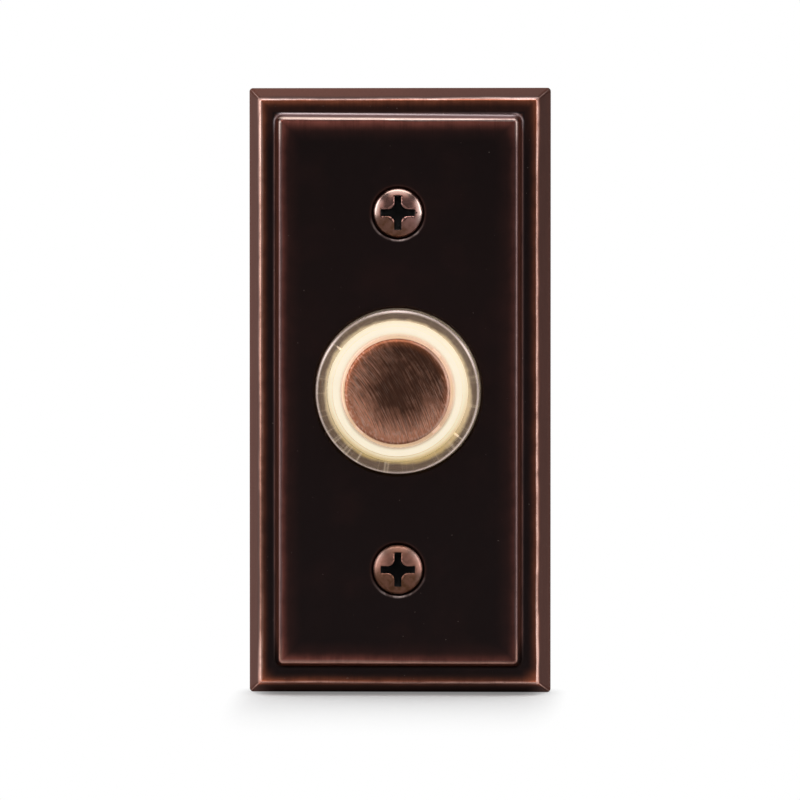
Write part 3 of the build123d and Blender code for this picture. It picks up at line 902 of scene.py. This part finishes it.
def start_tree(name, sizes):
    """An empty tree with named sizes. Returns it and its sizes as fields."""
    tree = bpy.data.node_groups.new(name, "GeometryNodeTree")
    for size in sizes:
        tree.interface.new_socket(name=size, in_out="INPUT", socket_type="NodeSocketFloat")
    tree.interface.new_socket(name="Geometry", in_out="OUTPUT", socket_type="NodeSocketGeometry")
    given = tree.nodes.new("NodeGroupInput")
    return tree, [Field(tree, given.outputs[size]) for size in sizes]


def end_tree(shape, material):
    """Finish a tree: real geometry, shaded smooth, in this material."""
    soft = shape.node("GeometryNodeSetShadeSmooth", {}, {"Geometry": shape})
    real = shape.node("GeometryNodeRealizeInstances", {}, {"Geometry": soft})
    done = shape.node("GeometryNodeSetMaterial", {}, {"Geometry": real, "Material": material})
    last = shape.tree.nodes.new("NodeGroupOutput")
    shape.tree.links.new(done.socket, last.inputs["Geometry"])


def grown(tree, sizes):
    """The plain mesh that a tree makes with these sizes."""
    obj = holder("grown", bpy.data.meshes.new("seed"))
    growth = obj.modifiers.new("growth", "NODES")
    growth.node_group = tree
    for item in tree.interface.items_tree:
        if item.in_out == "INPUT":
            growth[item.identifier] = sizes[item.name]
    return plain_mesh(obj)


def coil_tree(material):
    tree, (radius, wire, turns, low, high) = start_tree(
        "coil_spring", ("Radius", "Wire", "Turns", "Low", "High")
    )
    line = radius.node("GeometryNodeCurvePrimitiveLine", {}, {})
    path = radius.node("GeometryNodeResampleCurve", {}, {"Curve": line, "Count": spring_points})
    along = radius.node("GeometryNodeSplineParameter", {}, {})
    angle = along * turns * (2 * math.pi)
    first = low + wire * 0.5
    last = high - wire * 0.5
    spot = radius.node("ShaderNodeCombineXYZ", {}, {
        0: radius * angle.maths("COSINE", angle),
        1: 0 - (first + along * (last - first)),
        2: radius * angle.maths("SINE", angle),
    })
    path = radius.node("GeometryNodeSetPosition", {}, {"Geometry": path, "Position": spot})
    ring = radius.node(
        "GeometryNodeCurvePrimitiveCircle", {}, {"Resolution": wire_sides, "Radius": wire * 0.5}
    )
    coil = radius.node(
        "GeometryNodeCurveToMesh", {}, {"Curve": path, "Profile Curve": ring, "Fill Caps": True}
    )
    end_tree(coil, material)
    return tree


def spring_finish():
    steel, at = start_finish("music_wire")
    drawn = at.noise(5.0, 3.0)
    end_finish(steel, {
        "Base Color": drawn.ramp(0.3, 0.7).mix(spring_steel, spring_blue),
        "Metallic": 1.0,
        "Roughness": 0.22 + 0.2 * drawn,
        "Normal": drawn.relief(0.004),
    })
    return steel


music_wire = spring_finish()
spring_mesh = grown(coil_tree(music_wire), {
    "Radius": spring_radius * mm,
    "Wire": spring_wire * mm,
    "Turns": spring_turns,
    "Low": spring_low * mm,
    "High": spring_high * mm,
})
spring = fit("coil_spring", spring_mesh, music_wire, "housing", "spring_steel", "return_spring")
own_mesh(spring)


# Switch base. A black phenolic moulding sunk in the back of the plate: it carries the contacts, the
# board and the post of the spring, and has windows and grooves for the two bell wires.
phenolic_black = (0.016, 0.015, 0.014, 1.0)
phenolic_worn = (0.045, 0.042, 0.038, 1.0)


def phenolic_finish():
    phenolic, at = start_finish("black_phenolic")
    eroded = at.noise(5.5, 4.0)
    flow = at.stretched(0.12, 0.3, 0.2).noise(1.0, 3.0)
    end_finish(phenolic, {
        "Base Color": (eroded * 0.5 + flow * 0.5).ramp(0.4, 0.7).mix(phenolic_black, phenolic_worn),
        "Roughness": 0.46 + 0.16 * eroded - 0.08 * flow,
        "Normal": eroded.relief(0.03),
    })
    return phenolic


dress("switch_base", phenolic_finish())


# Terminal screws and base screws. Slotted pan heads driven in from the back: brass ones that bind
# the bell wires, and zinc-plated ones that draw the base into the plate.
screw_columns = 36
screw_rows = 130
tooth_root = 0.35
tooth_crest = 0.95
thread_lap = 0.4
thread_sharpest = 32.0
base_screw_count = 4
small_screw_roughness = 0.24
inward = -1.0
brass_head = (0.74, 0.49, 0.21, 1.0)
brass_slot = (0.42, 0.26, 0.10, 1.0)
zinc_bright = (0.62, 0.63, 0.65, 1.0)
zinc_dull = (0.40, 0.41, 0.43, 1.0)


def thread_tree(material):
    """A tapering shank with one helical ridge, closed at both ends, along the wall's normal."""
    tree, (root, crest, pitch, length, point, x, z, start, way) = start_tree(
        "screw_thread", ("Root", "Crest", "Pitch", "Length", "Point", "X", "Z", "Start", "Way")
    )
    sheet = root.node(
        "GeometryNodeMeshGrid",
        {},
        {"Size X": 1.0, "Size Y": 1.0, "Vertices X": screw_columns + 1, "Vertices Y": screw_rows + 1},
    )
    spot = root.node("GeometryNodeInputPosition", {}, {})
    around = spot.axis(0) + 0.5
    along = spot.axis(1) + 0.5
    depth = along * length
    turn = depth / pitch - around
    tooth = (1 - abs(2 * turn.maths("FRACT", turn) - 1)).ramp(tooth_root, tooth_crest)
    growth = depth.ramp(0.0, pitch)
    taper = ((length - depth) / point).lowest(1.0)
    closed = along.maths("GREATER_THAN", along, 0.5 / screw_rows)
    radius = (root + (crest - root) * tooth * growth) * taper * closed
    angle = around * (2 * math.pi)
    place = root.node("ShaderNodeCombineXYZ", {}, {
        0: x + radius * angle.maths("COSINE", angle),
        1: start + way * depth,
        2: z + radius * angle.maths("SINE", angle),
    })
    shank = root.node("GeometryNodeSetPosition", {}, {"Geometry": sheet, "Position": place})
    shank = root.node("GeometryNodeMergeByDistance", {}, {"Geometry": shank, "Distance": weld})
    end_tree(shank, material)
    return tree


def cut_head(node, end, way):
    """A copy of a screw's solid that ends square a little past its head."""
    shell = bmesh.new()
    shell.from_mesh(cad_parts[node].data)
    bmesh.ops.remove_doubles(shell, verts=shell.verts, dist=weld)
    everything = shell.verts[:] + shell.edges[:] + shell.faces[:]
    bmesh.ops.bisect_plane(
        shell, geom=everything, plane_co=(0, end * mm, 0), plane_no=(0, way, 0), clear_outer=True
    )
    open_edges = [edge for edge in shell.edges if edge.is_boundary]
    bmesh.ops.holes_fill(shell, edges=open_edges)
    mesh = bpy.data.meshes.new(node)
    shell.to_mesh(mesh)
    shell.free()
    return mesh


def joined(*meshes):
    """Several closed shells as one mesh, with their faces turned outwards."""
    shell = bmesh.new()
    for mesh in meshes:
        shell.from_mesh(mesh)
    bmesh.ops.recalc_face_normals(shell, faces=shell.faces)
    mesh = bpy.data.meshes.new("joined")
    shell.to_mesh(mesh)
    shell.free()
    return mesh


def screw_finish(name, bright, dull):
    metal, at = start_finish(name)
    plated = at.noise(1.4, 4.0)
    lathe = at.noise(9.0, 2.0)
    end_finish(metal, {
        "Base Color": plated.ramp(0.35, 0.7).mix(bright, dull),
        "Metallic": 1.0,
        "Roughness": small_screw_roughness + 0.2 * plated,
        "Normal": lathe.relief(0.006),
    })
    return metal


def threaded_screw(name, node, tree, material, slot, head, root, crest, pitch, point, way):
    """A screw with its head from the solid and a real thread, from head's end to the solid's own end."""
    low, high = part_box(node)
    end = (high.y if way > 0 else low.y) * per_metre
    thread = grown(tree, {
        "Root": root * mm,
        "Crest": crest * mm,
        "Pitch": pitch * mm,
        "Length": (abs(end - head) + thread_lap) * mm,
        "Point": point * mm,
        "X": (low.x + high.x) / 2,
        "Z": (low.z + high.z) / 2,
        "Start": (head - way * thread_lap) * mm,
        "Way": way,
    })
    mesh = smooth(joined(cut_head(node, head, way), thread), thread_sharpest)
    fit(name, mesh, material, "housing", slot, node)


binding_brass = screw_finish("binding_brass", brass_head, brass_slot)
bright_zinc = screw_finish("bright_zinc", zinc_bright, zinc_dull)
brass_tree = thread_tree(binding_brass)
zinc_tree = thread_tree(bright_zinc)
for side in ("left", "right"):
    threaded_screw(
        f"binding_screw_{side}", f"terminal_screw_{side}", brass_tree, binding_brass, "brass_screw",
        head=-2.0, root=1.4, crest=1.75, pitch=0.7, point=0.6, way=inward,
    )
for number in range(1, base_screw_count + 1):
    threaded_screw(
        f"back_screw_{number}", f"base_screw_{number}", zinc_tree, bright_zinc, "zinc_screw",
        head=-1.7, root=0.8, crest=1.1, pitch=0.8, point=0.5, way=inward,
    )


# Mounting screws. Two raised countersunk wood screws with a cross recess, copper-plated and
# darkened with the plate, with painted shade in their recesses. They hold the plate to the wall.
screw_copper = (0.46, 0.235, 0.205, 1.0)
painted_lower_screw_copper = (0.50, 0.235, 0.18, 1.0)
screw_wear_and_shade = (0.16, 0.070, 0.034, 1.0)
painted_screw_highlight = (0.80, 0.61, 0.55, 1.0)
painted_recess_shade = (0.004, 0.003, 0.003, 1.0)
head_radius = 3.06
head_dome = 0.85
head_brim = 9.30
head_ball = (head_radius**2 + head_dome**2) / (2 * head_dome)
head_top = head_brim + head_dome
head_low = 5.0
head_high = 6.0
recess_reach = 2.22
outward = 1.0


def copper_screw_finish():
    metal, at = start_finish("copper_screw")
    across, up, rise = place_of(at)
    above = (abs(up) - screw_spacing / 2) * up / abs(up)
    out = distance(across, above)
    on_head = rise.ramp(head_low, head_high)
    lower = (0 - up).ramp(0.0, 1.0) * on_head
    sag = out * out / (2 * head_ball)
    dome = head_top - sag - sag * sag / (2 * head_ball)
    # Painted shade in the cross recess.
    sunk = (dome - rise).ramp(0.05, 0.12) * (1 - out.ramp(recess_reach, recess_reach + 0.08)) * on_head
    mottle = at.noise(1.3, 4.0)
    grain = at.noise(7.0, 2.0)
    # Painted shade towards the lower left of each head, and a warmer copy of the copper for the lower screw.
    low_left = ((0.5 * lower - 0.6) * across - above).ramp(-0.3 - 0.3 * lower, 2.4 - 1.2 * lower)
    wear_and_painted_light = mottle.ramp(0.36, 0.66) * 0.3 + low_left * 0.65
    colour = wear_and_painted_light.mix(lower.mix(screw_copper, painted_lower_screw_copper), screw_wear_and_shade)
    # Painted highlights round the rim, stronger on some bearings than others, and weaker on the lower screw.
    square = abs(across * across - above * above) / (out * out)
    caught = square + lower * (1 - 2 * square)
    rim = out.ramp(2.2, 2.85) * (above + 0.15 * across).ramp(-1.8, 0.6) * (0.25 + 0.75 * caught)
    colour = (rim * (1 - 0.5 * lower)).mix(colour, painted_screw_highlight)
    # Painted shade: each head darker towards its top.
    colour = (above.ramp(1.2, 2.6) * 0.5).mix(colour, screw_wear_and_shade)
    end_finish(metal, {
        "Base Color": sunk.mix(colour, painted_recess_shade),
        "Metallic": 1.0 - 0.6 * sunk,
        "Roughness": 0.18 + 0.16 * lower + 0.08 * grain + 0.4 * sunk,
        "Normal": (grain * 0.6 + mottle * 0.4).relief(0.006),
    })
    return metal


copper_screw = copper_screw_finish()
wood_tree = thread_tree(copper_screw)
for place in ("upper", "lower"):
    threaded_screw(
        f"wood_screw_{place}", f"mounting_screw_{place}", wood_tree, copper_screw, "copper_screw",
        head=-0.6, root=1.2, crest=1.75, pitch=1.27, point=3.2, way=outward,
    )


# Studio. A white floor under the plate and a white sweep round its back and sides, plain white to
# the camera apart from a soft contact shadow faded out along a painted outline. A dim room and a
# dark stretch of floor in front keep the face dark, and soft lamps stand above and at both sides.
floor_height = cad_low.z
floor_half_width = 1.0
floor_front = -0.60
floor_back = 1.0
sweep_radius = 1.0
sweep_height = 1.2
sweep_turn = 105.0
sweep_steps = 48
sweep_dimming = 0.74
shadow_core = 0.008
shadow_fade = 0.012
shadow_bow = 0.052
shadow_behind = 9.0
shadow_near = 0.008
shadow_far = 0.072
shadow_depth = 0.79
wedge_depth = 0.006
painted_wedge_glow = 0.16
dark_from = 0.010
dark_full = 0.016
dim_from = 0.1
dim_full = 0.7
floor_white = (0.66, 0.66, 0.66, 1.0)
card_grey = (0.34, 0.34, 0.34, 1.0)
pure_white = (1.0, 1.0, 1.0, 1.0)
room_strength = 0.13


def light_path(tree, name):
    return Field(tree, tree.nodes.new("ShaderNodeLightPath").outputs[name])


def studio_white(name, dark_ahead, dim_right):
    """White by diffuse light, and plain white where the camera, a mirror or glass shows it from afar."""
    material = bpy.data.materials.new(name)
    material.use_nodes = True
    tree = material.node_tree
    tree.nodes.remove(tree.nodes["Principled BSDF"])
    at = Field(tree, tree.nodes.new("ShaderNodeTexCoord").outputs["Object"])
    across, forward = at.axis(0), 0 - at.axis(1)
    camera = light_path(tree, "Is Camera Ray")
    shown = light_path(tree, "Is Glossy Ray").highest(light_path(tree, "Is Transmission Ray"))
    # Painted shadow: outside an outline drawn round the plate the floor's own shadow fades into plain white,
    # and for the camera a share of white lifts it.
    spread = ((abs(across) - shadow_core) / shadow_fade).highest(0.0)
    beside = spread * spread * spread * shadow_bow
    along = forward.highest((0 - forward) * shadow_behind)
    away = distance(beside, along).ramp(shadow_near, shadow_far)
    # Painted light: a glow on the floor just in front of the plate, seen only in reflections.
    wedge = forward.ramp(0.0, wedge_depth) * painted_wedge_glow * (1 - camera)
    far = away.highest(camera * (1 - shadow_depth + shadow_depth * away)).highest(wedge)
    ahead = forward.ramp(dark_from, dark_full) * dark_ahead
    right = across.ramp(dim_from, dim_full) * dim_right
    lit = far * camera.highest(shown * (1 - ahead) * (1 - right))
    matt = at.node("ShaderNodeBsdfDiffuse", {}, {"Color": floor_white})
    card = at.node("ShaderNodeBsdfDiffuse", {}, {"Color": card_grey})
    glow = at.node("ShaderNodeEmission", {}, {"Color": pure_white, "Strength": 1.0})
    flagged = at.node("ShaderNodeMixShader", {}, {0: ahead * (1 - camera), 1: matt, 2: card})
    surface = at.node("ShaderNodeMixShader", {}, {0: lit, 1: flagged, 2: glow})
    tree.links.new(surface.socket, tree.nodes["Material Output"].inputs["Surface"])
    return material


def stage_piece(name, rows, material):
    """A sheet through rows of points, for the stage and no part of the object."""
    shell = bmesh.new()
    lines = [[shell.verts.new(spot) for spot in row] for row in rows]
    for line, other in zip(lines, lines[1:]):
        for n in range(len(line) - 1):
            shell.faces.new((line[n], line[n + 1], other[n + 1], other[n]))
    mesh = bpy.data.meshes.new(name)
    shell.to_mesh(mesh)
    shell.free()
    mesh.materials.append(material)
    obj = holder(name, mesh)


floor_rows = [
    [(x, y, floor_height) for x in (-floor_half_width, floor_half_width)]
    for y in (floor_front, floor_back)
]
stage_piece("floor", floor_rows, studio_white("floor_white", dark_ahead=1.0, dim_right=0.0))
bearings = [math.radians(sweep_turn * (2 * n / sweep_steps - 1)) for n in range(sweep_steps + 1)]
sweep_rows = [
    [(sweep_radius * math.sin(a), sweep_radius * math.cos(a), z) for a in bearings]
    for z in (floor_height, sweep_height)
]
stage_piece("sweep", sweep_rows, studio_white("sweep_white", dark_ahead=0.0, dim_right=sweep_dimming))


def soft_box(name, place, width, height, power):
    """A rectangular soft lamp at place that looks at the middle of the plate."""
    lamp = bpy.data.lights.new(name, "AREA")
    lamp.shape = "RECTANGLE"
    lamp.size = width
    lamp.size_y = height
    lamp.energy = power
    obj = bpy.data.objects.new(name, lamp)
    obj.location = place
    obj.rotation_euler = (-Vector(place)).to_track_quat("-Z", "Y").to_euler()
    obj.visible_camera = False
    bpy.context.scene.collection.objects.link(obj)


soft_box("overhead", (0.0, 0.02, 0.75), width=0.9, height=0.7, power=6.2)
soft_box("front_top", (0.0, -0.45, 0.68), width=0.6, height=0.4, power=1.2)
for name, x in (("left_front", -0.55), ("right_front", 0.55)):
    soft_box(name, (x, -0.42, 0.12), width=0.3, height=0.5, power=0.5)
for name, x in (("left_side", -0.65), ("right_side", 0.65)):
    soft_box(name, (x, -0.20, 0.15), width=0.25, height=0.7, power=1.2)

world = bpy.data.worlds.new("studio_room")
world.use_nodes = True
bpy.context.scene.world = world
room = world.node_tree.nodes["Background"]
seen = light_path(world.node_tree, "Is Camera Ray")
strength = room_strength + seen * (1.0 - room_strength)
room.inputs["Color"].default_value = pure_white
world.node_tree.links.new(strength.socket, room.inputs["Strength"])

bpy.context.scene.view_settings.view_transform = "Standard"


# Camera. A long lens a little to the right of the plate and a little above its middle, moved until
# the plate fills the picture as it does in the photograph.
sensor = 36.0
camera_distance = 0.664
camera_azimuth = 1.8
camera_rise = 1.05
picture_width = 0.1011
picture_drop = 0.00126
picture_shift = 0.000035
camera_data = bpy.data.cameras.new("camera")
camera_data.sensor_width = sensor
camera_data.lens = sensor * camera_distance / picture_width
camera = bpy.data.objects.new("camera", camera_data)
turn = math.radians(camera_azimuth)
rise = math.radians(camera_rise)
camera.location = (
    camera_distance * math.sin(turn) * math.cos(rise) - picture_shift,
    -camera_distance * math.cos(turn) * math.cos(rise),
    camera_distance * math.sin(rise) - picture_drop,
)
camera.rotation_euler = (math.pi / 2 - rise, 0.0, turn)
bpy.context.scene.collection.objects.link(camera)
bpy.context.scene.camera = camera
